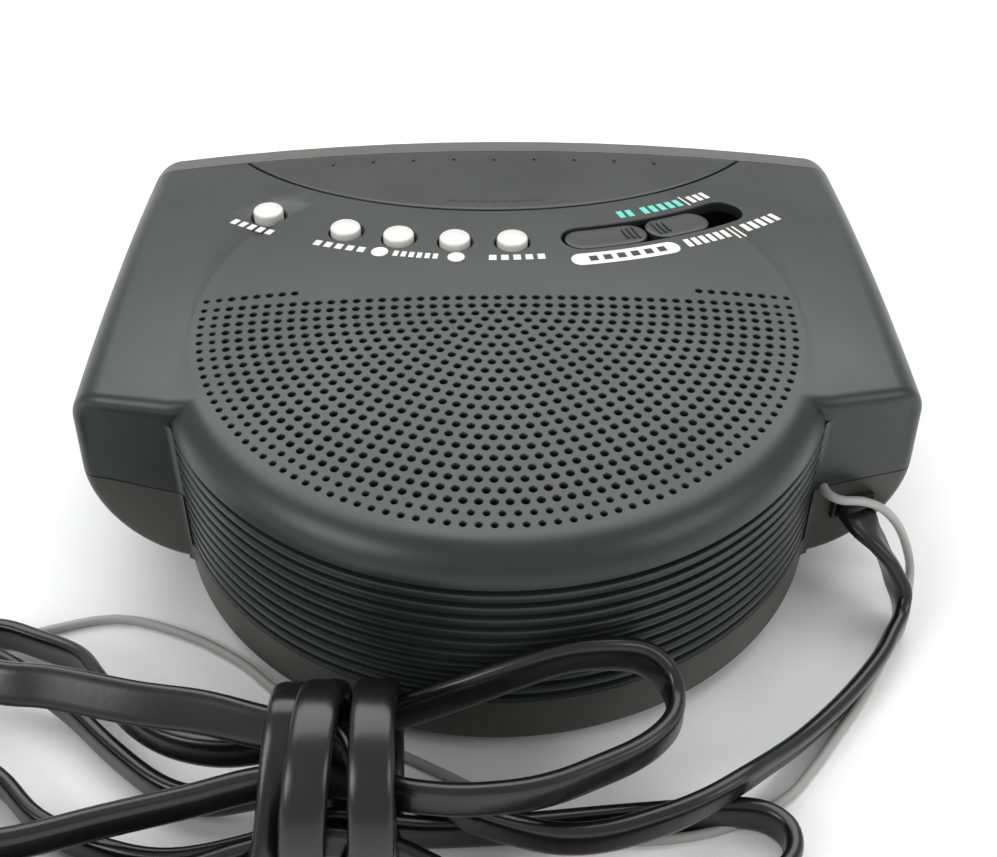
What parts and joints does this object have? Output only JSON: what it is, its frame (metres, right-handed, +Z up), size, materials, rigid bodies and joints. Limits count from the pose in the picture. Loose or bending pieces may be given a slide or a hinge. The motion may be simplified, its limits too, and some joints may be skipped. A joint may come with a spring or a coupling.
{
  "type": "clock radio",
  "caption": "Clock radio with a round ribbed speaker drum at the back, top buttons, sliders and snooze bar, side thumbwheels, and a folded mains cord.",
  "frame": {"origin": "on the table, under the middle of the case's bounding box without its cords", "axes": "+Z up, the display faces -Y, the round speaker drum is at +Y, +X is on the right seen from the front"},
  "size_m": [0.2573, 0.176, 0.0544],
  "materials": {
    "dark_shell": "fine satin grain, dark charcoal",
    "grey_shell": "satin, warm dark grey",
    "taupe_front": "satin grey-brown",
    "pearl_key": "smooth pearl white",
    "dark_key": "fine satin grain, dark charcoal",
    "smoked_window": "smoked red, clear gloss",
    "black_part": "black",
    "white_part": "off-white",
    "orange_part": "orange",
    "cord_black": "glossy black PVC",
    "wire_grey": "light grey PVC",
    "brass_blade": "bright brass",
    "screw_steel": "zinc plated",
    "tin_plate": "tinned steel",
    "core_iron": "laminated iron",
    "copper_wire": "enamelled copper",
    "ferrite": "dark grey ferrite",
    "board": "tan circuit board",
    "chip_black": "black",
    "nylon": "white nylon",
    "cone_paper": "black paper",
    "foam": "black foam",
    "feet_rubber": "black rubber",
    "cell_skin": "satin blue-grey wrap",
    "tape_yellow": "amber tape over copper"
  },
  "bodies": {
    "case": {"top_cover": "dark_shell", "bottom_cover": "grey_shell", "front_cabinet": "taupe_front", "slide_switches": "tin_plate", "tact_switches": "black_part", "key_board": "board", "display_window": "smoked_window", "dial_chassis": "black_part", "dial_scale": "white_part", "led_display": "black_part", "dial_cord": "nylon", "cord_guides": "nylon", "tuning_capacitor": "nylon", "volume_pot": "tin_plate", "band_switch": "tin_plate", "main_board": "board", "board_components": "chip_black", "board_screws": "screw_steel", "ferrite_rod": "ferrite", "ferrite_coil": "copper_wire", "ferrite_holders": "nylon", "speaker_frame": "tin_plate", "speaker_cone": "cone_paper", "speaker_magnet": "core_iron", "speaker_gasket": "foam", "speaker_screws": "screw_steel", "transformer_core": "core_iron", "transformer_coil": "tape_yellow", "backup_battery": "cell_skin", "battery_snap": "black_part", "case_screws": "screw_steel", "key_board_screws": "screw_steel", "rubber_feet": "feet_rubber", "strain_relief": "cord_black", "mains_cord": "cord_black", "cord_bundle": "cord_black", "plug_body": "cord_black", "plug_blades": "brass_blade", "antenna_wire": "wire_grey", "antenna_coil": "wire_grey"},
    "snooze": {"snooze_bar": "dark_key"},
    "sleep_key": {"sleep_button": "pearl_key"},
    "alarm_key": {"alarm_button": "pearl_key"},
    "minute_key": {"minute_button": "pearl_key"},
    "hour_key": {"hour_button": "pearl_key"},
    "clock_key": {"clock_button": "pearl_key"},
    "radio_slider": {"radio_switch_knob": "dark_key"},
    "mode_slider": {"alarm_mode_knob": "dark_key"},
    "tuner": {"tuning_wheel": "black_part", "tuning_shaft": "screw_steel", "tuning_wheel_screw": "screw_steel"},
    "pointer": {"dial_pointer": "orange_part"},
    "volume": {"volume_wheel": "black_part", "volume_shaft": "screw_steel", "volume_wheel_screw": "screw_steel"},
    "band_slider": {"band_switch_knob": "black_part"},
    "battery_lid": {"battery_door": "grey_shell"}
  },
  "joints": [
    {"name": "snooze_press", "type": "slide", "parent": "case", "child": "snooze", "axis": [0, 0, -1], "range_m": [0, 0.0012], "stiffness_N_per_m": 600},
    {"name": "sleep_press", "type": "slide", "parent": "case", "child": "sleep_key", "axis": [0, 0, -1], "range_m": [0, 0.0008], "stiffness_N_per_m": 400},
    {"name": "alarm_press", "type": "slide", "parent": "case", "child": "alarm_key", "axis": [0, 0, -1], "range_m": [0, 0.0008], "stiffness_N_per_m": 400},
    {"name": "minute_press", "type": "slide", "parent": "case", "child": "minute_key", "axis": [0, 0, -1], "range_m": [0, 0.0008], "stiffness_N_per_m": 400},
    {"name": "hour_press", "type": "slide", "parent": "case", "child": "hour_key", "axis": [0, 0, -1], "range_m": [0, 0.0008], "stiffness_N_per_m": 400},
    {"name": "clock_press", "type": "slide", "parent": "case", "child": "clock_key", "axis": [0, 0, -1], "range_m": [0, 0.0008], "stiffness_N_per_m": 400},
    {"name": "radio_switch_slide", "type": "hinge", "parent": "case", "child": "radio_slider", "pos_m": [0, -0.10125, 0.045], "axis": [0, 0, 1], "range_deg": [0, 1.7]},
    {"name": "alarm_mode_slide", "type": "hinge", "parent": "case", "child": "mode_slider", "pos_m": [0, -0.10125, 0.045], "axis": [0, 0, 1], "range_deg": [0, 3.6]},
    {"name": "tuning_turn", "type": "hinge", "parent": "case", "child": "tuner", "pos_m": [0.0625, -0.02, 0.0275], "axis": [0, 0, 1], "range_deg": [-90, 90]},
    {"name": "pointer_slide", "type": "slide", "parent": "case", "child": "pointer", "axis": [1, 0, 0], "range_m": [-0.0206, 0.0206]},
    {"name": "volume_turn", "type": "hinge", "parent": "case", "child": "volume", "pos_m": [-0.0625, -0.02, 0.0275], "axis": [0, 0, 1], "range_deg": [0, 300]},
    {"name": "band_slide", "type": "slide", "parent": "case", "child": "band_slider", "axis": [0, 1, 0], "range_m": [0, 0.004]},
    {"name": "battery_lid_hinge", "type": "hinge", "parent": "case", "child": "battery_lid", "pos_m": [0, 0.0252, 0.0025], "axis": [1, 0, 0], "range_deg": [-90, 0]}
  ],
  "couplings": [
    {"joint": "pointer_slide", "follows": "tuning_turn", "m_per_rad": 0.013}
  ]
}
